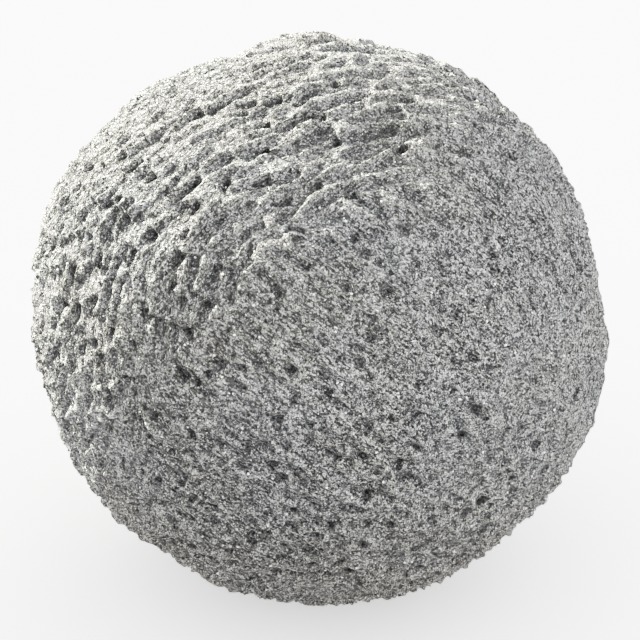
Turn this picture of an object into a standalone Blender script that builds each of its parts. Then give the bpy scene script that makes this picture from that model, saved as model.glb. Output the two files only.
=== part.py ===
# Dressed stone ball: one block of grey volcanic stone, worked round by hand with a point
# chisel, with a small flat bed on its underside so that it stands and doesn't roll.
#
# The form follows the way a mason makes such a ball. A cube is cut back by flats, first on its
# faces, edges and corners and then between those, until only a slightly faceted ball is left.
# So the surface is the inner envelope of many planes that touch a ball which is a little longer
# one way than the other. The planes lie at slightly different depths and their arrises are worn
# soft. A few flats were cut too deep, a few places were left full, and soft swells run over all
# of it. Near the bed the form goes back to the plain ball, because the bed is set out from it.
#
# Metres, +Z up. The bed lies in z = 0 and the ball stands over the origin.

import math
import random

import bmesh
import bpy
from mathutils import Euler, Vector, noise

# Overall sizes
BALL_LENGTH = 0.366        # across the ball along its longest line, before the flats are cut
BALL_BREADTH = 0.361       # across the ball square to that line, before the flats are cut
LENGTH_HEADING = 169.0     # degrees round from +X to the longest line
LENGTH_RISE = 21.0         # degrees from the level up to it

# Bed
BED_DIAMETER = 0.100       # across the flat that the ball stands on
BED_ARRIS = 0.006          # width of the eased rim round the flat
BED_SIDES = 48
BED_CALM = 0.050           # distance beyond the rim over which the hand-made form comes in

# Roughing flats
ROUGHING_ORDER = 3         # 1 cuts a cube's faces, edges and corners, and each more cuts between those
ROUGHING_TURN = (17.0, 24.0, 40.0)   # degrees by which the roughing cube is turned
FLAT_CUT_LEAST = 0.0002    # how far a flat lies inside the ball
FLAT_CUT_MOST = 0.0022
ARRIS_WEAR = 0.0005        # softness of the arrises between flats
FLAT_FACING = 0.8          # cosine of the widest angle at which a flat can still bound the ball
FLAT_SEED = 11

# Flats that were cut too deep and still show: heading and rise in degrees, depth in metres
DEEP_FLATS = (
    (140.0, 62.0, 0.0072),     # the flattest place, high on the left
    (0.0, 11.0, 0.0056),
    (62.0, 67.0, 0.0034),
    (166.0, 40.0, 0.0040),
    (222.0, -46.0, 0.0040),
    (296.0, -36.0, 0.0030),
    (73.0, 11.0, 0.0046),
    (118.0, -34.0, 0.0040),
)

# Places that were left full: heading and rise in degrees, height in metres, half-width in degrees
FULL_PLACES = (
    (177.0, 19.0, 0.0030, 12.0),
    (105.0, 71.0, 0.0026, 8.0),
    (341.0, -25.0, 0.0026, 12.0),
    (311.0, -50.0, 0.0014, 12.0),
    (301.0, 12.0, 0.0012, 20.0),
    (51.0, -22.0, 0.0020, 16.0),
)

# Swells that run over all of it: height, length, and which part of the noise they are read from
SWELL_HEIGHT = 0.0018
SWELL_LENGTH = 0.100
SWELL_START = 7.3
DENT_HEIGHT = 0.0012
DENT_LENGTH = 0.032
DENT_START = 2.9

# Mesh
CELLS_PER_SIDE = 30        # the ball's mesh is a cube of this many cells a side, blown up round

STONE_COLOUR = (0.285, 0.283, 0.272, 1.0)
STONE_ROUGHNESS = 0.94


def clear_scene():
    for obj in list(bpy.data.objects):
        bpy.data.objects.remove(obj, do_unlink=True)


def new_collection(name):
    collection = bpy.data.collections.new(name)
    bpy.context.scene.collection.children.link(collection)
    return collection


def principled(name, colour, roughness, metallic=0.0):
    material = bpy.data.materials.new(name)
    material.use_nodes = True
    shader = material.node_tree.nodes["Principled BSDF"]
    shader.inputs["Base Color"].default_value = colour
    shader.inputs["Roughness"].default_value = roughness
    shader.inputs["Metallic"].default_value = metallic
    material.diffuse_color = colour
    return material


def pointing(heading, rise):
    """Unit vector at a heading round from +X and a rise above the level, in degrees."""
    turn, lift = math.radians(heading), math.radians(rise)
    return Vector((math.cos(lift) * math.cos(turn), math.cos(lift) * math.sin(turn), math.sin(lift)))


def smooth_step(value):
    value = min(max(value, 0.0), 1.0)
    return value * value * (3.0 - 2.0 * value)


def plain_radius(way):
    """Centre to surface of the smooth ball, which is BALL_LENGTH long and BALL_BREADTH across."""
    along = way.dot(pointing(LENGTH_HEADING, LENGTH_RISE)) ** 2
    return 0.5 / math.sqrt(along / BALL_LENGTH ** 2 + (1.0 - along) / BALL_BREADTH ** 2)


def lowest_point():
    """The smooth ball's lowest point, from its centre."""
    length = pointing(LENGTH_HEADING, LENGTH_RISE)
    extra = BALL_LENGTH ** 2 - BALL_BREADTH ** 2
    down = Vector((0.0, 0.0, -(BALL_BREADTH ** 2))) - extra * length.z * length
    return 0.5 * down / math.sqrt(BALL_BREADTH ** 2 + extra * length.z ** 2)


def roughing_flats():
    """The flats' outward normals, each with its plane's distance from the centre."""
    turn = Euler([math.radians(angle) for angle in ROUGHING_TURN]).to_matrix()
    chance = random.Random(FLAT_SEED)
    steps = range(-ROUGHING_ORDER, ROUGHING_ORDER + 1)
    flats = []
    for x in steps:
        for y in steps:
            for z in steps:
                if math.gcd(x, y, z) != 1:
                    continue
                normal = (turn @ Vector((x, y, z))).normalized()
                cut = chance.uniform(FLAT_CUT_LEAST, FLAT_CUT_MOST)
                flats.append((normal, plain_radius(normal) - cut))
    for heading, rise, cut in DEEP_FLATS:
        normal = pointing(heading, rise)
        flats.append((normal, plain_radius(normal) - cut))
    return flats


def faceted_radius(way, flats):
    """Centre to the nearest flat along way, with the arrises between flats worn soft."""
    facing = [(distance, way.dot(normal)) for normal, distance in flats]
    reaches = [distance / along for distance, along in facing if along > FLAT_FACING]
    nearest = min(reaches)
    crowd = sum(math.exp((nearest - reach) / ARRIS_WEAR) for reach in reaches)
    return nearest - ARRIS_WEAR * math.log(crowd)


def swell(way, length, start):
    """Smooth noise from -1 to 1 over the ball, with swells about this long."""
    return noise.noise(way * (0.5 * BALL_BREADTH / length) + Vector((start, -start, 0.5 * start)))


def fullness(way):
    """Height that the places left full add along way."""
    total = 0.0
    for heading, rise, height, half_width in FULL_PLACES:
        angle = math.degrees(way.angle(pointing(heading, rise)))
        total += height * math.exp(-((angle / half_width) ** 2))
    return total


def rim_radius():
    """Where the smooth ball meets the bed's plane, halfway across the eased rim."""
    return 0.5 * (BED_DIAMETER + BED_ARRIS)


def bed_share():
    """The bed's depth below the ball's centre, as a share of the lowest point's."""
    return math.sqrt(1.0 - (2.0 * rim_radius() / BALL_BREADTH) ** 2)


def bed_centre():
    """The middle of the bed, from the ball's centre."""
    return bed_share() * lowest_point()


def bed_slope():
    """Slope of the smooth ball where it meets the bed."""
    return math.acos(bed_share())


def worked_radius(way, flats):
    """Centre to the worked surface, which is the smooth ball at the bed's rim."""
    plain = plain_radius(way)
    from_rim = (plain * way - bed_centre()).length - rim_radius()
    worked = faceted_radius(way, flats) + fullness(way)
    worked += SWELL_HEIGHT * swell(way, SWELL_LENGTH, SWELL_START)
    worked += DENT_HEIGHT * swell(way, DENT_LENGTH, DENT_START)
    return plain + (worked - plain) * smooth_step((from_rim - BED_ARRIS) / BED_CALM)


def ball_mesh(name):
    """A cube of even cells blown up to the worked surface, with the bed's middle at the origin."""
    flats = roughing_flats()
    mesh = bpy.data.meshes.new(name)
    shape = bmesh.new()
    bmesh.ops.create_cube(shape, size=2.0)
    bmesh.ops.subdivide_edges(shape, edges=shape.edges, cuts=CELLS_PER_SIDE - 1, use_grid_fill=True)
    for vertex in shape.verts:
        # equal angles, so that the cells near a cube's corner stay as large as the others
        way = Vector([math.tan(0.25 * math.pi * part) for part in vertex.co]).normalized()
        vertex.co = way * worked_radius(way, flats)
    bmesh.ops.recalc_face_normals(shape, faces=shape.faces)
    bmesh.ops.translate(shape, verts=shape.verts, vec=-bed_centre())
    shape.to_mesh(mesh)
    shape.free()
    mesh.shade_smooth()
    return mesh


def bed_cutter(collection):
    """Turned solid that takes the bed off: a flat, then the eased rim at half the ball's slope."""
    flat = 0.5 * BED_DIAMETER
    outer = 0.5 * BALL_LENGTH
    rim_top = (outer - flat) * math.tan(0.5 * bed_slope())
    below = 2.0 * (lowest_point().z - bed_centre().z)
    profile = ((0.0, 0.0), (flat, 0.0), (outer, rim_top), (outer, below), (0.0, below))
    mesh = bpy.data.meshes.new("bed_cutter")
    mesh.from_pydata([(x, 0.0, z) for x, z in profile], [(i, i + 1) for i in range(len(profile) - 1)], [])
    cutter = bpy.data.objects.new("bed_cutter", mesh)
    collection.objects.link(cutter)
    screw = cutter.modifiers.new("turn", "SCREW")
    screw.steps = screw.render_steps = BED_SIDES
    screw.use_merge_vertices = True
    screw.merge_threshold = 0.00001
    cutter.hide_render = True
    cutter.display_type = "WIRE"
    return cutter


def stone_ball(collection, cutters):
    mesh = ball_mesh("stone_ball")
    ball = bpy.data.objects.new("stone_ball", mesh)
    collection.objects.link(ball)
    mesh.materials.append(principled("grey_stone", STONE_COLOUR, STONE_ROUGHNESS))
    bed = ball.modifiers.new("bed", "BOOLEAN")
    bed.operation = "DIFFERENCE"
    bed.solver = "EXACT"
    bed.object = bed_cutter(cutters)
    slivers = ball.modifiers.new("slivers", "WELD")   # joins what the cut left closer than this
    slivers.merge_threshold = 0.0001
    return ball


def stand_over_origin(ball, collection):
    """Moves the ball and its cutter together, so that the ball's outline is centred."""
    stand = bpy.data.objects.new("stand", None)
    collection.objects.link(stand)
    for axis in range(2):
        reach = [vertex.co[axis] for vertex in ball.data.vertices]
        stand.location[axis] = -0.5 * (min(reach) + max(reach))
    for obj in (ball, ball.modifiers["bed"].object):
        obj.parent = stand


def main():
    clear_scene()
    parts = new_collection("dressed_stone_ball")
    cutters = new_collection("cutters")
    ball = stone_ball(parts, cutters)
    stand_over_origin(ball, parts)


main()
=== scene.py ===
import math
import bmesh
import bpy
import numpy as np
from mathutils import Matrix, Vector


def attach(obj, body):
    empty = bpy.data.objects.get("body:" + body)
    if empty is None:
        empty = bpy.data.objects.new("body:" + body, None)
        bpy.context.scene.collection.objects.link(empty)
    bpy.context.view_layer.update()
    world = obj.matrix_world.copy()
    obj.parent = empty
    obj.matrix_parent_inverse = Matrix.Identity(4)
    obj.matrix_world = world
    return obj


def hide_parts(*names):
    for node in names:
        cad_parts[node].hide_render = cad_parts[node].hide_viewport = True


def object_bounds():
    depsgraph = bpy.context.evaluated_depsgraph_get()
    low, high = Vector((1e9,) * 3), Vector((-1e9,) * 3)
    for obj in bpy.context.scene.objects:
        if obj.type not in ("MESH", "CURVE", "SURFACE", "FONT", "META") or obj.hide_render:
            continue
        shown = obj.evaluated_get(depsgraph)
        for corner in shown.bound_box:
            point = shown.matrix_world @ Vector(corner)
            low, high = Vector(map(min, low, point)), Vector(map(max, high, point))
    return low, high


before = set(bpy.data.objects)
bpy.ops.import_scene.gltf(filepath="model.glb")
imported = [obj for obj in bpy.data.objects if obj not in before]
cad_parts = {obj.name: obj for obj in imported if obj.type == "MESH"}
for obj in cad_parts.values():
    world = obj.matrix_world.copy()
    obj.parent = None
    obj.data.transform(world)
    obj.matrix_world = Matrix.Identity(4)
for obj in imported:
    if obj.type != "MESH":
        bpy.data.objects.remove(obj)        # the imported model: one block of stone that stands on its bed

# A ball of grey volcanic stone, dressed by hand with a point chisel.
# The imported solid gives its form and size. Its skin is cut here: furrows that meet in ridges,
# nicks over them, gas holes that the chisel opened, and the crystals that stand in the stone.

cadLow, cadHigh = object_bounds()
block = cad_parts["stone_ball"]
ballRadius = ((cadHigh.x - cadLow.x) + (cadHigh.y - cadLow.y)) / 4
ballCentre = Vector(((cadLow.x + cadHigh.x) / 2, (cadLow.y + cadHigh.y) / 2, cadHigh.z - ballRadius))

view = {
    "rise": 25.0,                    # degrees above level
    "distance": 1.80,                # from the ball's centre
    "lens": 158.0,
    "sensor": 36.0,
    "aim": (-0.0006, 0.0, -0.0004),  # the middle of the frame, from the ball's centre
}


def addCamera():
    rise = math.radians(view["rise"])
    away = Vector((0.0, -math.cos(rise), math.sin(rise)))
    camera = bpy.data.objects.new("camera", bpy.data.cameras.new("camera"))
    bpy.context.scene.collection.objects.link(camera)
    camera.data.lens = view["lens"]
    camera.data.sensor_width = view["sensor"]
    camera.location = ballCentre + Vector(view["aim"]) + view["distance"] * away
    camera.rotation_euler = away.to_track_quat("Z", "Y").to_euler()
    bpy.context.scene.camera = camera


addCamera()


# Adds a node, sets or links its inputs in their order, and gives back one of its outputs.
def put(tree, kind, *values, out=0, **settings):
    node = tree.nodes.new(kind)
    for name, value in settings.items():
        setattr(node, name, value)
    taken = [socket for socket in node.inputs if socket.enabled]
    for socket, value in zip(taken, values):
        if isinstance(value, bpy.types.NodeSocket):
            tree.links.new(value, socket)
        elif value is not None:
            socket.default_value = value
    given = [socket for socket in node.outputs if socket.enabled]
    return given if out is None else given[out]


def sums(tree, operation, *values):
    return put(tree, "ShaderNodeMath", *values, operation=operation)


def vectors(tree, operation, *values):
    return put(tree, "ShaderNodeVectorMath", *values, operation=operation)


# A smooth change of value from one end of a range to the other.
def ease(tree, value, low, high, toLow=0.0, toHigh=1.0):
    return put(tree, "ShaderNodeMapRange", value, low, high, toLow, toHigh, interpolation_type="SMOOTHSTEP")


# Furrows run end to end in ridges, nicks lie over them, and a few gouges are driven in deeper.
blows = {
    "seed": 41,
    "furrowSpacing": 0.0086,     # across the strokes
    "furrowOverlap": 0.42,       # of a stroke's length, from one stroke to the next in line
    "furrowWidth": 0.0112,
    "furrowDepth": 0.0048,
    "furrowTurn": 0.15,          # how far a stroke turns from the lay, in radians
    "nickSpacing": 0.0075,
    "nickOverlap": 0.6,
    "nickLength": 0.017,
    "nickWidth": 0.0085,
    "nickDepth": 0.0034,
    "nickTurn": 0.35,
    "gougeSpacing": 0.021,
    "gougeOverlap": 1.3,
    "gougeLength": 0.015,
    "gougeWidth": 0.0074,
    "gougeDepth": 0.0068,
    "gougeTurn": 0.25,
    "longStroke": 0.075,         # a furrow so long has only shallow nicks in it
    "patchSharpness": 22.0,      # how quickly one patch of strokes gives way to the next
    "near": 0.09,                # strokes on the far side of the ball don't count
    "tries": 26000,
}

# How the strokes lie over the ball. Each patch has a heading and a rise in degrees from the ball's
# centre, the angle of its strokes from level, the length of a stroke and its share of the depth.
patches = [
    (278, 75, 20, 0.080, 1.00),
    (245, 55, 50, 0.072, 1.05),
    (213, 53, 80, 0.044, 0.95),
    (230, 32, 90, 0.026, 1.00),
    (208, 17, 115, 0.023, 1.00),
    (190, 40, 80, 0.026, 0.90),
    (220, -10, 60, 0.021, 0.95),
    (250, -5, -25, 0.019, 0.85),
    (270, 25, -35, 0.022, 0.70),
    (294, 20, -50, 0.021, 0.65),
    (344, 62, -45, 0.055, 0.75),
    (327, 34, -70, 0.024, 0.50),
    (338, 8, -80, 0.022, 0.50),
    (305, -13, -45, 0.020, 0.80),
    (272, -30, -40, 0.020, 0.90),
    (90, 83, 30, 0.076, 0.95),
    (150, 55, -20, 0.060, 0.95),
    (100, 45, 35, 0.064, 0.95),
    (45, 48, 70, 0.050, 0.85),
    (20, 20, 100, 0.024, 0.70),
    (62, 12, 55, 0.030, 0.80),
    (110, 8, 15, 0.036, 0.90),
    (150, 10, -50, 0.026, 0.85),
    (178, 5, -75, 0.023, 0.85),
    (30, -20, -60, 0.020, 0.65),
    (85, -25, -20, 0.024, 0.75),
    (140, -28, 40, 0.022, 0.75),
    (195, -38, 70, 0.019, 0.70),
    (0, -50, -30, 0.020, 0.75),
    (110, -60, 10, 0.020, 0.65),
    (240, -58, -60, 0.020, 0.85),
]


def directionOf(heading, rise):
    heading, rise = np.radians(heading), np.radians(rise)
    return np.stack([np.cos(rise) * np.cos(heading), np.cos(rise) * np.sin(heading), np.sin(rise)], -1)


def tangentsOf(directions):
    east = np.stack([-directions[:, 1], directions[:, 0], np.zeros(len(directions))], -1)
    east /= np.linalg.norm(east, axis=1, keepdims=True)
    return east, np.cross(directions, east)


patchValues = np.array(patches, float)
patchPlaces = directionOf(patchValues[:, 0], patchValues[:, 1])
patchEast, patchNorth = tangentsOf(patchPlaces)
patchAngles = np.radians(patchValues[:, 2])[:, None]
patchLays = np.cos(patchAngles) * patchEast + np.sin(patchAngles) * patchNorth


# The way the strokes run at each place, their length and their share of the depth.
def layAt(directions):
    weight = np.exp(blows["patchSharpness"] * (directions @ patchPlaces.T - 1.0))
    weight /= weight.sum(1, keepdims=True)
    spread = np.einsum("np,pi,pj->nij", weight, patchLays, patchLays)      # a lay has no sign
    inward = np.eye(3) - directions[:, :, None] * directions[:, None, :]
    spread = inward @ spread @ inward
    lay = np.linalg.eigh(spread)[1][:, :, 2]
    rightward = lay[:, 0] + 0.35 * lay[:, 2] + 0.2 * lay[:, 1]      # so all strokes are struck one way
    lay *= np.where(rightward < 0, -1.0, 1.0)[:, None]
    return lay, weight @ patchValues[:, 3], weight @ patchValues[:, 4]


# Strokes set side by side and end to end, with no two closer than their own width and length ask.
def setOut(random, spacing, lengthShare, fixedLength, widest, deepest, turn, spared=0.0):
    directions = random.normal(size=(blows["tries"], 3))
    directions /= np.linalg.norm(directions, axis=1, keepdims=True)
    lays, lengths, shares = layAt(directions)
    east = np.cross(directions, lays)
    angle = random.normal(0.0, turn, len(directions))[:, None]
    lays = np.cos(angle) * lays + np.sin(angle) * east
    sides = np.cross(directions, lays)
    longest = lengths
    lengths = lengths if fixedLength is None else np.full(len(directions), fixedLength)
    lengths = lengths * random.uniform(0.75, 1.3, len(directions))
    gap = spacing * random.uniform(0.8, 1.15, len(directions))
    kept = np.zeros((0, 3))
    order = []
    for index in range(len(directions)):
        offset = (kept - directions[index]) * ballRadius
        along = offset @ lays[index] / (lengthShare * lengths[index])
        across = offset @ sides[index] / gap[index]
        near = np.abs(offset @ directions[index]) < blows["near"]
        if (near & (along * along + across * across < 1.0)).any():
            continue
        order.append(index)
        kept = directions[order]
    order = np.array(order)
    count = len(order)
    widths = widest * random.uniform(0.8, 1.25, count) * (0.75 + 0.25 * shares[order])
    depths = deepest * random.uniform(0.72, 1.2, count) * shares[order]
    if spared:                       # few nicks cut into the ridges where the strokes are long
        depths *= np.clip(1.25 - spared * longest[order] / blows["longStroke"], 0.5, 1.0)
    elif fixedLength is not None:
        depths *= shares[order]
    digs = depths * random.uniform(0.0, 1.0, count) ** 3
    return directions[order], lays[order], lengths[order] / 2, widths / 2, depths, digs


def planBlows():
    random = np.random.default_rng(blows["seed"])
    furrows = setOut(random, blows["furrowSpacing"], blows["furrowOverlap"], None,
                     blows["furrowWidth"], blows["furrowDepth"], blows["furrowTurn"])
    nicks = setOut(random, blows["nickSpacing"], blows["nickOverlap"], blows["nickLength"],
                   blows["nickWidth"], blows["nickDepth"], blows["nickTurn"], 1.0)
    gouges = setOut(random, blows["gougeSpacing"], blows["gougeOverlap"], blows["gougeLength"],
                    blows["gougeWidth"], blows["gougeDepth"], blows["gougeTurn"])
    print("strokes planned:", len(furrows[0]), "furrows,", len(nicks[0]), "nicks,", len(gouges[0]), "gouges")
    return [np.concatenate(kinds) for kinds in zip(furrows, nicks, gouges)]


holes = {
    "seed": 7,
    "count": 380,
    "smallest": 0.0011,        # radius
    "largest": 0.0030,
    "deep": 0.80,              # depth for each radius
    "drawnOut": 0.55,          # how much longer they are along the strokes
    "ragged": 0.0026,          # how far their rims wander, and over what length
    "raggedLength": 0.0036,
    "rim": 1.2,                # in radii from its middle: where a hole starts, and where it is full deep
    "floor": 0.45,
}


# Gas holes that the chisel laid open: many small, a few large.
def holeObject():
    random = np.random.default_rng(holes["seed"])
    directions = random.normal(size=(holes["count"], 3))
    directions /= np.linalg.norm(directions, axis=1, keepdims=True)
    small, large = holes["smallest"], holes["largest"]
    radii = small + (large - small) * random.uniform(0, 1, holes["count"]) ** 2.2
    depths = radii * holes["deep"] * random.uniform(0.7, 1.3, holes["count"])
    return pointsObject("hole_plan", directions * ballRadius, holeRadius=radii, holeDepth=depths,
                        holeLay=layAt(directions)[0])


def pointsObject(name, places, **values):
    mesh = bpy.data.meshes.new(name)
    mesh.vertices.add(len(places))
    mesh.vertices.foreach_set("co", np.asarray(places, np.float32).ravel())
    for key, value in values.items():
        value = np.asarray(value, np.float32)
        kind = "FLOAT_VECTOR" if value.ndim == 2 else "FLOAT"
        field = "vector" if value.ndim == 2 else "value"
        mesh.attributes.new(key, kind, "POINT").data.foreach_set(field, value.ravel())
    made = bpy.data.objects.new(name, mesh)
    bpy.context.scene.collection.objects.link(made)
    return made


def planObject():
    directions, lays, halfLengths, halfWidths, depths, digs = planBlows()
    return pointsObject("blow_plan", directions, lay=lays, halfLength=halfLengths,
                        halfWidth=halfWidths, depth=depths, dig=digs)


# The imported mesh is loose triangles, so the working copy has its corners joined first.
def plainBlock():
    mesh = block.data.copy()
    form = bmesh.new()
    form.from_mesh(mesh)
    bmesh.ops.remove_doubles(form, verts=form.verts, dist=1e-5)
    form.to_mesh(mesh)
    form.free()
    made = bpy.data.objects.new("plain_block", mesh)
    bpy.context.scene.collection.objects.link(made)
    return made


stoneLook = {
    "grain": 0.0014,           # size of the grains
    "dust": 0.0010,
    "sliver": 0.0010,
    "drawnOut": 3.4,           # how much longer than wide the slivers are
    "sliverAxes": [(0.788, -0.26, -0.558), (0.70, 0.36, 0.62), (0.10, 0.42, 0.90), (-0.35, 0.80, 0.48)],
    "sliverFrom": 0.70,        # how nearly the strokes have to lie along an axis, as a cosine
    "sliverFull": 0.90,
    "pore": 0.0018,
    "mottle": 0.012,
    "tint": 0.060,
    "grainTones": [(0.0, 0.24), (0.22, 0.52), (0.50, 0.68), (0.80, 0.82), (1.0, 0.94)],
    "gapTones": [(0.0, 0.22), (0.09, 0.62), (0.20, 1.02), (0.50, 1.10)],
    "dustTones": [(0.0, 0.12), (0.30, 0.70), (0.65, 1.14), (1.0, 1.55)],
    "sliverTones": [(0.0, 0.12), (0.28, 0.66), (0.6, 1.14), (1.0, 1.50)],
    # pores darker: their own dark and painted shade
    "poreDarkAndShadeTones": [(0.30, 0.18), (0.40, 0.62), (0.47, 1.0), (0.75, 1.08)],
    "sunSideCreamShare": 0.12,           # share of the painted sunlight's pale cream colour
    "sunSideCreamColour": (0.42, 0.418, 0.375, 1.0),
    "mottleTones": [(0.3, 0.88), (0.7, 1.12)],
    "tints": [(0.35, (0.99, 1.0, 1.015)), (0.65, (1.015, 1.00, 0.975))],
    # painted shade and painted warm bounce light from the ground, darker and browner towards the foot
    "footShadeAndBounceTints": [(0.02, (0.88, 0.85, 0.82)), (0.15, (0.95, 0.95, 0.94)), (0.24, (1.0, 1.0, 1.0))],
    "crestHeight": 0.0012,     # from a hollow's floor or a crest's top to the skin around it
    # painted light: hollows darker and cooler as dirt and painted shade, crests paler and warmer as bruising
    # and painted highlight
    "hollowDirtShadeCrestLightTones": [(0.0, (0.60, 0.605, 0.62)), (0.45, 0.96), (1.0, (1.10, 1.10, 1.065))],
    "deepCut": -0.0060,
    "highCut": 0.0010,
    # deep cuts darker, as dirt and painted shade; the highest skin a little lighter
    "cutDirtAndShadeTones": [(0.0, 0.48), (0.5, 0.86), (1.0, 1.08)],
    "palest": 0.80,
    "rough": 0.0026,           # sizes of the two roughnesses that the light catches
    "sandy": 0.0012,
    "bump": 0.0032,
    "sandyBump": 0.6,          # shares of the bump's height
    "gapBump": 0.3,
    "poreBump": 0.4,
    "roughness": 0.93,
    "shine": 0.25,
}


def newMaterial(name):
    material = bpy.data.materials.new(name)
    material.use_nodes = True
    tree = material.node_tree
    tree.nodes.clear()
    return material, tree


# Reads a value as a tone, from stops that each give a place and a grey or a colour.
def colourStops(tree, value, stops):
    node = tree.nodes.new("ShaderNodeValToRGB")
    while len(node.color_ramp.elements) < len(stops):
        node.color_ramp.elements.new(1.0)
    for element, (place, grey) in zip(node.color_ramp.elements, stops):
        element.position = place
        element.color = (*grey, 1.0) if isinstance(grey, tuple) else (grey, grey, grey, 1.0)
    tree.links.new(value, node.inputs[0])
    return node.outputs[0]


# Multiplies two colours, or mixes them when told to.
def mixed(tree, first, second, share=1.0, blend="MULTIPLY"):
    return put(tree, "ShaderNodeMix", share, first, second, data_type="RGBA", blend_type=blend)


def stoneMaterial():
    material, tree = newMaterial("dressed_stone")
    place = put(tree, "ShaderNodeTexCoord", out=3)

    # grains, each of its own tone, with dark gaps between them
    stir = put(tree, "ShaderNodeTexNoise", place, 1 / stoneLook["grain"], 1.0, 0.5, out=None)[1]
    stir = vectors(tree, "SCALE", vectors(tree, "SUBTRACT", stir, (0.5, 0.5, 0.5)), stoneLook["grain"] * 0.8)
    stirred = vectors(tree, "ADD", place, stir)
    cell = put(tree, "ShaderNodeTexVoronoi", stirred, 1 / stoneLook["grain"], out=None)[1]
    gap = put(tree, "ShaderNodeTexVoronoi", stirred, 1 / stoneLook["grain"], feature="DISTANCE_TO_EDGE")
    tone = colourStops(tree, put(tree, "ShaderNodeSeparateColor", cell), stoneLook["grainTones"])
    colour = mixed(tree, tone, colourStops(tree, gap, stoneLook["gapTones"]))
    dust = put(tree, "ShaderNodeTexVoronoi", place, 1 / stoneLook["dust"], out=None)[1]
    dust = colourStops(tree, put(tree, "ShaderNodeSeparateColor", dust), stoneLook["dustTones"])
    colour = mixed(tree, colour, dust)

    # slivers that the point drew out along its stroke, each axis shown where the strokes lie along it
    lay = put(tree, "ShaderNodeAttribute", attribute_name="stroke", out=1)
    for axis in stoneLook["sliverAxes"]:
        along = vectors(tree, "DOT_PRODUCT", stirred, axis)
        shortened = vectors(tree, "SCALE", axis, sums(tree, "MULTIPLY", along, 1 - 1 / stoneLook["drawnOut"]))
        drawn = vectors(tree, "SUBTRACT", stirred, shortened)
        sliver = put(tree, "ShaderNodeTexVoronoi", drawn, 1 / stoneLook["sliver"], out=None)[1]
        sliver = colourStops(tree, put(tree, "ShaderNodeSeparateColor", sliver), stoneLook["sliverTones"])
        likeness = vectors(tree, "DOT_PRODUCT", lay, axis)
        likeness = sums(tree, "ABSOLUTE", likeness)
        shown = ease(tree, likeness, stoneLook["sliverFrom"], stoneLook["sliverFull"])
        colour = mixed(tree, colour, sliver, shown)

    # painted sunlight: on the side the sun falls on, which is also where the point was driven deepest, the
    # grains are mixed towards one pale cream tone
    sunSideCream = put(tree, "ShaderNodeAttribute", attribute_name="sunSideCream", out=2)
    sunSideCream = sums(tree, "MULTIPLY", sunSideCream, stoneLook["sunSideCreamShare"])
    colour = mixed(tree, colour, stoneLook["sunSideCreamColour"], sunSideCream, "MIX")

    # pores between the grains, darkened: their own dark and painted shade in them
    pore = put(tree, "ShaderNodeTexNoise", place, 1 / stoneLook["pore"], 2.0, 0.55)
    colour = mixed(tree, colour, colourStops(tree, pore, stoneLook["poreDarkAndShadeTones"]))

    # cloudy changes over the block; then the cut: hollows and deep cuts darker and cooler (dirt and painted
    # shade), crests paler and warmer (bruising and painted highlight)
    mottle = put(tree, "ShaderNodeTexNoise", place, 1 / stoneLook["mottle"], 2.0, 0.5)
    colour = mixed(tree, colour, colourStops(tree, mottle, stoneLook["mottleTones"]))
    tint = put(tree, "ShaderNodeTexNoise", place, 1 / stoneLook["tint"], 2.0, 0.5)
    colour = mixed(tree, colour, colourStops(tree, tint, stoneLook["tints"]))
    # painted shade and painted warm ground bounce: darker and browner towards the foot
    rise = put(tree, "ShaderNodeSeparateXYZ", place, out=2)
    colour = mixed(tree, colour, colourStops(tree, rise, stoneLook["footShadeAndBounceTints"]))
    # painted shade in the hollows and painted highlight on the crests, together with dirt and bruising
    relief = put(tree, "ShaderNodeAttribute", attribute_name="relief", out=2)
    hollowShadeCrestLight = ease(tree, relief, -stoneLook["crestHeight"], stoneLook["crestHeight"])
    colour = mixed(tree, colour, colourStops(tree, hollowShadeCrestLight, stoneLook["hollowDirtShadeCrestLightTones"]))
    # darker where the cut goes deeper: dirt and painted shade
    depth = put(tree, "ShaderNodeAttribute", attribute_name="cut", out=2)
    depth = ease(tree, depth, stoneLook["deepCut"], stoneLook["highCut"])
    colour = mixed(tree, colour, colourStops(tree, depth, stoneLook["cutDirtAndShadeTones"]))
    colour = vectors(tree, "MINIMUM", colour, (stoneLook["palest"],) * 3)

    # height for the bump: the two roughnesses, the gaps between grains, and the pores
    rough = put(tree, "ShaderNodeTexNoise", place, 1 / stoneLook["rough"], 2.0, 0.6)
    sandy = put(tree, "ShaderNodeTexNoise", place, 1 / stoneLook["sandy"], 2.0, 0.6)
    height = sums(tree, "MULTIPLY_ADD", sandy, stoneLook["sandyBump"], rough)
    height = sums(tree, "MULTIPLY_ADD", ease(tree, gap, 0.0, 0.3), stoneLook["gapBump"], height)
    height = sums(tree, "MULTIPLY_ADD", ease(tree, pore, 0.3, 0.5), stoneLook["poreBump"], height)
    bump = tree.nodes.new("ShaderNodeBump")
    bump.inputs["Strength"].default_value = 1.0
    bump.inputs["Distance"].default_value = stoneLook["bump"]
    tree.links.new(height, bump.inputs["Height"])

    shader = tree.nodes.new("ShaderNodeBsdfPrincipled")
    tree.links.new(colour, shader.inputs["Base Color"])
    tree.links.new(bump.outputs["Normal"], shader.inputs["Normal"])
    shader.inputs["Roughness"].default_value = stoneLook["roughness"]
    shader.inputs["Specular IOR Level"].default_value = stoneLook["shine"]
    tree.links.new(shader.outputs[0], tree.nodes.new("ShaderNodeOutputMaterial").inputs[0])
    return material


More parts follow.
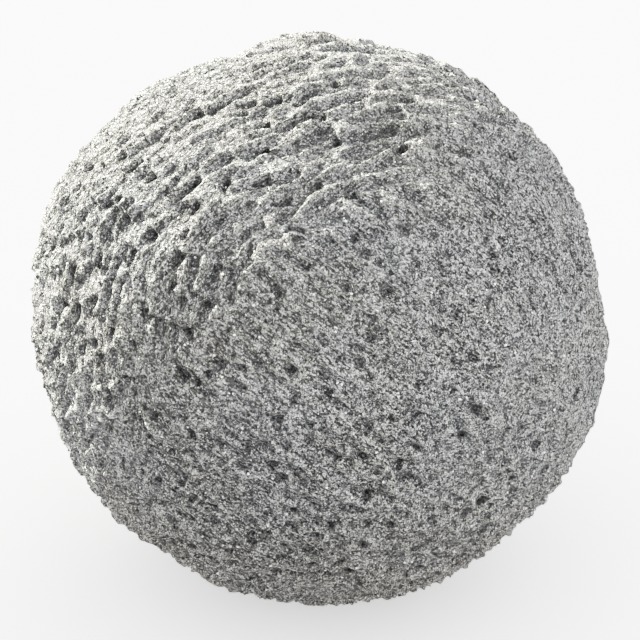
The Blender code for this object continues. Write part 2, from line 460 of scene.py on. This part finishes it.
skin = {
    "fineness": 225,           # points along each edge of the cube that is blown up to the ball
    "faces": 198000,           # kept, where the skin bends most
    "stock": 0.0026,           # how far the uncut skin stands proud
    "wander": 0.0024,          # how far the ridges wander, and over what length
    "wanderLength": 0.028,
    "shake": 0.0008,
    "shakeLength": 0.008,
    "tooth": 0.0017,           # the roughness that the broken grain leaves
    "chips": 0.55,             # share of sharp chips in it
    "inHollows": 0.8,          # how much of it the hollows have, and the crests
    "onCrests": 1.6,
    "roughSide": (-0.52, -0.35, 0.78),   # where the point was driven deepest,
    "roughFrom": 0.25,         # and over which cosines from there it comes in
    "roughFull": 0.8,
    "elsewhere": 0.4,          # of that roughness, on the far side of it
    "makeUp": 0.0012,          # added there, for the form to keep its size under the deep strokes
    "fullWay": (-0.706, 0.300, 0.642),   # a shoulder of the block that was left full
    "fullHeight": 0.0025,
    "fullFrom": 0.86,
    "fullAt": 0.98,
    "chipLength": 0.0052,
    "toothLength": 0.0045,
    "calmWithin": 0.052,       # no tool marks nearer to the middle of the bed than this
    "calmBeyond": 0.066,
    "strokeFaces": (18, 10),   # along and across the sheet that each stroke is cut with
    "entering": (-1.0, -0.35),     # where a stroke sinks in, along its half-length
    "stopping": (0.96, 0.76),      # and where it comes out again
    "digging": (-0.1, 0.72),       # and where it is driven deeper
    "hollow": 3.2,             # how flat a stroke's floor is across it
    "clear": 0.0004,           # how far the sheets' rims stand above the uncut skin
}


def newTree(name, inputs):
    tree = bpy.data.node_groups.new(name, "GeometryNodeTree")
    tree.interface.new_socket("Geometry", in_out="OUTPUT", socket_type="NodeSocketGeometry")
    tree.interface.new_socket("Geometry", in_out="INPUT", socket_type="NodeSocketGeometry")
    for label, kind, value in inputs:
        socket = tree.interface.new_socket(label, in_out="INPUT", socket_type="NodeSocket" + kind)
        if value is not None and hasattr(socket, "default_value"):
            socket.default_value = value
    entry = tree.nodes.new("NodeGroupInput")
    return tree, {socket.name: socket for socket in entry.outputs}


def addModifier(holder, tree, values):
    modifier = holder.modifiers.new(tree.name, "NODES")
    modifier.node_group = tree
    for item in tree.interface.items_tree:
        if item.in_out == "INPUT" and item.name in values:
            modifier[item.identifier] = values[item.name]
    return modifier


def attribute(tree, name, kind="FLOAT"):
    return put(tree, "GeometryNodeInputNamedAttribute", name, data_type=kind)


def stored(tree, geometry, name, value, kind="FLOAT"):
    return put(tree, "GeometryNodeStoreNamedAttribute", geometry, None, name, value,
               data_type=kind, domain="POINT")


def sampled(tree, points, value, nearest, kind="FLOAT"):
    return put(tree, "GeometryNodeSampleIndex", points, value, nearest, data_type=kind, domain="POINT")


# Casts a ray from the centre: how far away it meets the surface, whether it does, and what it reads there.
def reach(tree, surface, centre, direction, read=None):
    isHit, _, _, distance, value = put(tree, "GeometryNodeRaycast", surface, read, centre, direction, 1.0,
                                       out=None, data_type="FLOAT_VECTOR")
    return distance, isHit, value


# A noise of so many swells a metre, as a vector from -0.5 to 0.5.
def noiseVector(tree, place, scale):
    noise = put(tree, "ShaderNodeTexNoise", vectors(tree, "SCALE", place, scale), 1.0, 2.0, 0.5, out=None)[1]
    return vectors(tree, "SUBTRACT", noise, (0.5, 0.5, 0.5))


# Every stroke is a sheet bent to the ball: shallow where the point goes in, steep where it stops.
def strokeSheets(tree, given, surface, lay):
    sheet = put(tree, "GeometryNodeMeshGrid", 2.0, 2.0, given["Stroke Points Along"],
                given["Stroke Points Across"])
    sheet = stored(tree, sheet, "across", put(tree, "GeometryNodeInputPosition"), "FLOAT_VECTOR")
    points = put(tree, "GeometryNodeMeshToPoints", given["Geometry"])
    points = stored(tree, points, "foot", put(tree, "GeometryNodeInputPosition"), "FLOAT_VECTOR")
    cuts = put(tree, "GeometryNodeInstanceOnPoints", points, None, sheet)
    cuts = put(tree, "GeometryNodeRealizeInstances", cuts)
    foot = attribute(tree, "foot", "FLOAT_VECTOR")
    side = vectors(tree, "CROSS_PRODUCT", foot, lay)
    u, v, _ = put(tree, "ShaderNodeSeparateXYZ", attribute(tree, "across", "FLOAT_VECTOR"), out=None)
    along = sums(tree, "DIVIDE", sums(tree, "MULTIPLY", u, attribute(tree, "halfLength")), given["Radius"])
    aside = sums(tree, "DIVIDE", sums(tree, "MULTIPLY", v, attribute(tree, "halfWidth")), given["Radius"])
    towards = vectors(tree, "ADD", foot, vectors(tree, "SCALE", lay, along))
    towards = vectors(tree, "ADD", towards, vectors(tree, "SCALE", side, aside))
    towards = vectors(tree, "NORMALIZE", towards)
    entering = ease(tree, u, *skin["entering"])
    stopping = ease(tree, u, *skin["stopping"])
    digging = sums(tree, "MULTIPLY", ease(tree, u, *skin["digging"]), attribute(tree, "dig"))
    hollow = sums(tree, "SUBTRACT", 1.0, sums(tree, "POWER", sums(tree, "ABSOLUTE", v), given["Hollow"]))
    full = sums(tree, "MULTIPLY", sums(tree, "MULTIPLY", entering, stopping), hollow)
    proud = sums(tree, "ADD", given["Stock"], given["Clear"])
    deepest = sums(tree, "ADD", sums(tree, "ADD", attribute(tree, "depth"), digging), given["Clear"])
    drop = sums(tree, "MULTIPLY", full, deepest)
    skinReach, _, _ = reach(tree, surface, given["Centre"], towards)
    cutReach = sums(tree, "ADD", skinReach, sums(tree, "SUBTRACT", proud, drop))
    cutPlace = vectors(tree, "ADD", given["Centre"], vectors(tree, "SCALE", towards, cutReach))
    return put(tree, "GeometryNodeSetPosition", cuts, None, cutPlace)


# Depth of the nearest gas hole, which has a ragged rim and is drawn out along the strokes.
def holeDepthAt(tree, given, place):
    holePoints = put(tree, "GeometryNodeObjectInfo", given["Holes"], False, out=None)[-1]
    ragged = noiseVector(tree, place, given["Hole Ragged Scale"])
    ragged = vectors(tree, "SCALE", ragged, sums(tree, "MULTIPLY", given["Hole Ragged"], 2.0))
    ragged = vectors(tree, "ADD", place, ragged)
    nearest = put(tree, "GeometryNodeSampleNearest", holePoints, ragged, domain="POINT")
    holePlace = sampled(tree, holePoints, put(tree, "GeometryNodeInputPosition"), nearest, "FLOAT_VECTOR")
    holeRadius = sampled(tree, holePoints, attribute(tree, "holeRadius"), nearest)
    holeDepth = sampled(tree, holePoints, attribute(tree, "holeDepth"), nearest)
    holeLay = sampled(tree, holePoints, attribute(tree, "holeLay", "FLOAT_VECTOR"), nearest, "FLOAT_VECTOR")
    apart = vectors(tree, "SUBTRACT", ragged, holePlace)
    drawn = sums(tree, "MULTIPLY", vectors(tree, "DOT_PRODUCT", apart, holeLay), given["Hole Drawn Out"])
    apart = vectors(tree, "SUBTRACT", apart, vectors(tree, "SCALE", holeLay, drawn))
    apart = vectors(tree, "LENGTH", apart)
    inside = ease(tree, sums(tree, "DIVIDE", apart, holeRadius), holes["rim"], holes["floor"])
    return sums(tree, "MULTIPLY", inside, holeDepth)


# Share of the cutting that reaches each place: none of it on the bed.
def workedShare(tree, given, outward):
    x, y, z = put(tree, "ShaderNodeSeparateXYZ", outward, out=None)
    fromAxis = sums(tree, "ADD", sums(tree, "MULTIPLY", x, x), sums(tree, "MULTIPLY", y, y))
    fromAxis = sums(tree, "MULTIPLY", sums(tree, "SQRT", fromAxis), given["Radius"])
    worked = ease(tree, fromAxis, given["Calm Within"], given["Calm Beyond"])
    return sums(tree, "MAXIMUM", worked, ease(tree, z, -0.2, 0.0))


def dressTree():
    tree, given = newTree("dress the ball", [
        ("Block", "Object", None),
        ("Holes", "Object", None),
        ("Centre", "Vector", None),
        ("Radius", "Float", 0.18),
        ("Fineness", "Int", 65),
        ("Stroke Points Along", "Int", 19),
        ("Stroke Points Across", "Int", 11),
        ("Hollow", "Float", 3.2),
        ("Clear", "Float", 0.0004),
        ("Stock", "Float", 0.003),
        ("Wander", "Float", 0.002),
        ("Wander Scale", "Float", 33.0),
        ("Shake", "Float", 0.001),
        ("Shake Scale", "Float", 100.0),
        ("Tooth", "Float", 0.0005),
        ("Tooth Scale", "Float", 200.0),
        ("Chip Scale", "Float", 200.0),
        ("Rough Side", "Vector", None),
        ("Elsewhere", "Float", 0.4),
        ("Make Up", "Float", 0.001),
        ("Full Way", "Vector", None),
        ("Full Height", "Float", 0.002),
        ("Hole Ragged", "Float", 0.0026),
        ("Hole Ragged Scale", "Float", 280.0),
        ("Hole Drawn Out", "Float", 0.5),
        ("Calm Within", "Float", 0.05),
        ("Calm Beyond", "Float", 0.06),
        ("Stone", "Material", None),
    ])
    centre = given["Centre"]
    surface = put(tree, "GeometryNodeObjectInfo", given["Block"], False, out=None)[-1]
    lay = attribute(tree, "lay", "FLOAT_VECTOR")
    cuts = strokeSheets(tree, given, surface, lay)

    # the new skin, cast outward from the centre until it meets the first cut
    cube = put(tree, "GeometryNodeMeshCube", (2.0, 2.0, 2.0), *[given["Fineness"]] * 3)
    even = vectors(tree, "SCALE", put(tree, "GeometryNodeInputPosition"), math.pi / 4)
    even = vectors(tree, "TANGENT", even)
    cube = stored(tree, cube, "outward", vectors(tree, "NORMALIZE", even), "FLOAT_VECTOR")
    outward = attribute(tree, "outward", "FLOAT_VECTOR")
    real = vectors(tree, "SCALE", outward, given["Radius"])
    wander = vectors(tree, "SCALE", noiseVector(tree, real, given["Wander Scale"]), given["Wander"])
    shake = vectors(tree, "SCALE", noiseVector(tree, real, given["Shake Scale"]), given["Shake"])
    bent = vectors(tree, "ADD", real, vectors(tree, "SCALE", vectors(tree, "ADD", wander, shake), 2.5))
    bent = vectors(tree, "NORMALIZE", bent)
    plainReach, _, _ = reach(tree, surface, centre, outward)
    bentReach, _, _ = reach(tree, surface, centre, bent)
    cutSkin, isCut, stroke = reach(tree, cuts, centre, bent, lay)
    cube = stored(tree, cube, "stroke", stroke, "FLOAT_VECTOR")
    fall = sums(tree, "SUBTRACT", cutSkin, bentReach)
    fall = put(tree, "GeometryNodeSwitch", isCut, given["Stock"], fall, input_type="FLOAT")
    fall = sums(tree, "MINIMUM", fall, given["Stock"])

    # the broken grain stands out on the crests, and most where the point was driven deepest
    toothNoise = put(tree, "ShaderNodeTexNoise", real, given["Tooth Scale"], 3.0, 0.6)
    chips = put(tree, "ShaderNodeTexVoronoi", real, given["Chip Scale"])
    chips = sums(tree, "MULTIPLY", chips, skin["chips"])
    broken = sums(tree, "SUBTRACT", sums(tree, "ADD", toothNoise, chips), 0.75)
    onCrest = ease(tree, fall, -0.0015, 0.0015, skin["inHollows"], skin["onCrests"])
    turned = vectors(tree, "DOT_PRODUCT", outward, given["Rough Side"])
    roughness = ease(tree, turned, skin["roughFrom"], skin["roughFull"], given["Elsewhere"], 1.0)
    onCrest = sums(tree, "MULTIPLY", onCrest, roughness)
    makeUp = ease(tree, turned, skin["roughFrom"], skin["roughFull"], 0.0, given["Make Up"])
    # painted sunlight: how much pale cream the side that the sun falls on is given
    cube = stored(tree, cube, "sunSideCream", ease(tree, turned, 0.3, 0.75))
    tooth = sums(tree, "MULTIPLY", broken, sums(tree, "MULTIPLY", given["Tooth"], onCrest))
    fall = sums(tree, "ADD", fall, tooth)
    cube = stored(tree, cube, "cut", fall)
    shoulder = vectors(tree, "DOT_PRODUCT", outward, given["Full Way"])
    shoulder = ease(tree, shoulder, skin["fullFrom"], skin["fullAt"], 0.0, given["Full Height"])
    makeUp = sums(tree, "ADD", makeUp, shoulder)
    fall = sums(tree, "ADD", fall, makeUp)
    fall = sums(tree, "SUBTRACT", fall, holeDepthAt(tree, given, real))
    fall = sums(tree, "MULTIPLY", fall, workedShare(tree, given, outward))
    cube = stored(tree, cube, "fall", fall)
    away = sums(tree, "ADD", plainReach, attribute(tree, "fall"))
    place = vectors(tree, "ADD", centre, vectors(tree, "SCALE", outward, away))
    cube = put(tree, "GeometryNodeSetPosition", cube, None, place)
    around = put(tree, "GeometryNodeBlurAttribute", attribute(tree, "fall"), 10, 1.0, data_type="FLOAT")
    cube = stored(tree, cube, "relief", sums(tree, "SUBTRACT", attribute(tree, "fall"), around))
    cube = put(tree, "GeometryNodeSetShadeSmooth", cube)
    cube = put(tree, "GeometryNodeRealizeInstances", cube)
    cube = put(tree, "GeometryNodeSetMaterial", cube, None, given["Stone"])
    tree.links.new(cube, tree.nodes.new("NodeGroupOutput").inputs[0])
    return tree


# Turns what an object's modifiers make into a plain mesh of its own.
def settled(holder, name):
    graph = bpy.context.evaluated_depsgraph_get()
    mesh = bpy.data.meshes.new_from_object(holder.evaluated_get(graph), depsgraph=graph)
    mesh.name = name
    made = bpy.data.objects.new(name, mesh)
    bpy.context.scene.collection.objects.link(made)
    return made


def dressBall(stone):
    plan, pits, plain = planObject(), holeObject(), plainBlock()
    tree = dressTree()
    addModifier(plan, tree, {
        "Block": plain,
        "Holes": pits,
        "Centre": tuple(ballCentre),
        "Radius": ballRadius,
        "Fineness": skin["fineness"],
        "Stroke Points Along": skin["strokeFaces"][0] + 1,
        "Stroke Points Across": skin["strokeFaces"][1] + 1,
        "Hollow": skin["hollow"],
        "Clear": skin["clear"],
        "Stock": skin["stock"],
        "Wander": skin["wander"],
        "Wander Scale": 1 / skin["wanderLength"],
        "Shake": skin["shake"],
        "Shake Scale": 1 / skin["shakeLength"],
        "Tooth": skin["tooth"],
        "Tooth Scale": 1 / skin["toothLength"],
        "Chip Scale": 1 / skin["chipLength"],
        "Rough Side": skin["roughSide"],
        "Elsewhere": skin["elsewhere"],
        "Make Up": skin["makeUp"],
        "Full Way": skin["fullWay"],
        "Full Height": skin["fullHeight"],
        "Hole Ragged": holes["ragged"],
        "Hole Ragged Scale": 1 / holes["raggedLength"],
        "Hole Drawn Out": holes["drawnOut"],
        "Calm Within": skin["calmWithin"],
        "Calm Beyond": skin["calmBeyond"],
        "Stone": stone,
    })
    thinner = plan.modifiers.new("thinner", "DECIMATE")
    thinner.ratio = skin["faces"] / (12 * (skin["fineness"] - 1) ** 2)
    ball = settled(plan, "dressed_stone_ball")
    for spare in (plan, pits, plain):
        bpy.data.objects.remove(spare)
    print("ball dressed:", len(ball.data.vertices), "points,", len(ball.data.polygons), "faces")
    return ball


stone = stoneMaterial()
ball = dressBall(stone)
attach(ball, "root")
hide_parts("stone_ball")

crystalKinds = {
    "pale_crystals": {
        "each": 2300.0,            # on a square metre
        "smallest": 0.00035,       # radius
        "largest": 0.00110,
        "bedClear": 0.012,         # none lower than this
        "seed": 3,
        "colour": (0.80, 0.80, 0.78, 1.0),
        "roughness": 0.6,
    },
    "dark_crystals": {
        "each": 2600.0,
        "smallest": 0.00035,
        "largest": 0.00095,
        "bedClear": 0.012,
        "seed": 8,
        "colour": (0.045, 0.045, 0.048, 1.0),
        "roughness": 0.6,
    },
}


# Crystals that stand half out of the skin, as small rough stones set on points spread over the ball.
def scatterTree():
    tree, given = newTree("scatter crystals", [
        ("Ball", "Object", None),
        ("For Each Square Metre", "Float", 2000.0),
        ("Smallest", "Float", 0.0004),
        ("Largest", "Float", 0.001),
        ("Bed Clear", "Float", 0.012),
        ("Seed", "Int", 0),
        ("Stone", "Material", None),
    ])
    surface = put(tree, "GeometryNodeObjectInfo", given["Ball"], False, out=None)[-1]
    height = put(tree, "ShaderNodeSeparateXYZ", put(tree, "GeometryNodeInputPosition"), out=2)
    above = put(tree, "FunctionNodeCompare", height, given["Bed Clear"], operation="GREATER_THAN")
    points = put(tree, "GeometryNodeDistributePointsOnFaces", surface, above, given["For Each Square Metre"],
                 given["Seed"])
    grain = put(tree, "GeometryNodeMeshIcoSphere", 1.0, 1)
    turn = put(tree, "FunctionNodeRandomValue", (0.0,) * 3, (6.28,) * 3, data_type="FLOAT_VECTOR")
    size = put(tree, "FunctionNodeRandomValue", given["Smallest"], given["Largest"], None, 5,
               data_type="FLOAT_VECTOR")
    crystals = put(tree, "GeometryNodeInstanceOnPoints", points, None, grain, None, None, turn, size)
    crystals = put(tree, "GeometryNodeRealizeInstances", crystals)
    crystals = put(tree, "GeometryNodeSetMaterial", crystals, None, given["Stone"])
    tree.links.new(crystals, tree.nodes.new("NodeGroupOutput").inputs[0])
    return tree


def crystalMaterial(name, kind):
    material, tree = newMaterial(name)
    shader = tree.nodes.new("ShaderNodeBsdfPrincipled")
    shader.inputs["Base Color"].default_value = kind["colour"]
    shader.inputs["Roughness"].default_value = kind["roughness"]
    tree.links.new(shader.outputs[0], tree.nodes.new("ShaderNodeOutputMaterial").inputs[0])
    return material


def scatterCrystals():
    tree = scatterTree()
    made = []
    for name, kind in crystalKinds.items():
        holder = pointsObject(name + "_plan", np.zeros((1, 3)))
        addModifier(holder, tree, {
            "Ball": ball,
            "For Each Square Metre": kind["each"],
            "Smallest": kind["smallest"],
            "Largest": kind["largest"],
            "Bed Clear": kind["bedClear"],
            "Seed": kind["seed"],
            "Stone": crystalMaterial(name, kind),
        })
        piece = settled(holder, name)
        bpy.data.objects.remove(holder)
        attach(piece, "root")
        print(name + ":", len(piece.data.polygons) // 20)      # each crystal has 20 faces
        made.append(piece)
    return made


crystals = scatterCrystals()

studio = {
    "floor": 6.0,
    "floorGrey": 0.85,
    "floorGlow": 0.60,
    "floorRoughness": 0.9,
    "around": 1.34,            # light from all round
    "sun": 22.5,
    "sunColour": (1.0, 0.98, 0.86),
    "sunFrom": (-0.638, 0.543, 0.546),
    "sunSpread": 1.0,          # degrees
    "sky": 1.5,
    "skyColour": (0.98, 0.99, 1.0),
    "skyFrom": (-0.60, -0.12, 0.79),
    "skySpread": 70.0,
    "fill": 2.0,
    "fillColour": (0.965, 0.985, 1.0),
    "fillFrom": (0.75, -0.31, 0.59),
    "fillSpread": 14.0,
    "whiteAt": 2.0,            # the brightness that shows as white, and the curve up to it
    "shoulder": [(0.15, 0.15), (0.40, 0.40), (0.70, 0.60), (1.10, 0.78), (1.55, 0.91)],
}


def addFloor():
    material, tree = newMaterial("pale_floor")
    shader = tree.nodes.new("ShaderNodeBsdfPrincipled")
    shader.inputs["Base Color"].default_value = (studio["floorGrey"],) * 3 + (1.0,)
    shader.inputs["Roughness"].default_value = studio["floorRoughness"]
    shader.inputs["Emission Color"].default_value = (1.0, 1.0, 1.0, 1.0)
    shader.inputs["Emission Strength"].default_value = studio["floorGlow"]
    tree.links.new(shader.outputs[0], tree.nodes.new("ShaderNodeOutputMaterial").inputs[0])
    mesh = bpy.data.meshes.new("floor")
    half = studio["floor"] / 2
    outline = [(-half, -half, 0), (half, -half, 0), (half, half, 0), (-half, half, 0)]
    mesh.from_pydata(outline, [], [(0, 1, 2, 3)])
    mesh.materials.append(material)
    floor = bpy.data.objects.new("floor", mesh)
    bpy.context.scene.collection.objects.link(floor)


# Leaves the darker tones as they are and eases the brightest ones below white, as a camera does.
def softenHighlights(shown):
    shown.view_transform = "Standard"
    shown.use_curve_mapping = True
    mapping = shown.curve_mapping
    mapping.white_level = (studio["whiteAt"],) * 3
    curve = mapping.curves[3]
    for place, value in studio["shoulder"]:
        curve.points.new(place / studio["whiteAt"], value)
    mapping.update()


def addLight():
    world = bpy.data.worlds.new("studio")
    world.use_nodes = True
    world.node_tree.nodes["Background"].inputs["Color"].default_value = (1.0, 1.0, 1.0, 1.0)
    world.node_tree.nodes["Background"].inputs["Strength"].default_value = studio["around"]
    bpy.context.scene.world = world
    lit = bpy.data.collections.new("lit_by_lamps")
    for piece in (ball, *crystals):
        lit.objects.link(piece)
    for name in ("sun", "sky", "fill"):
        lamp = bpy.data.objects.new(name, bpy.data.lights.new(name, "SUN"))
        lamp.data.energy = studio[name]
        lamp.data.angle = math.radians(studio[name + "Spread"])
        lamp.data.color = studio[name + "Colour"]
        lamp.rotation_euler = Vector(studio[name + "From"]).to_track_quat("Z", "Y").to_euler()
        bpy.context.scene.collection.objects.link(lamp)
        lamp.light_linking.receiver_collection = lit
    softenHighlights(bpy.context.scene.view_settings)


addFloor()
addLight()
print("floor and lamps set")
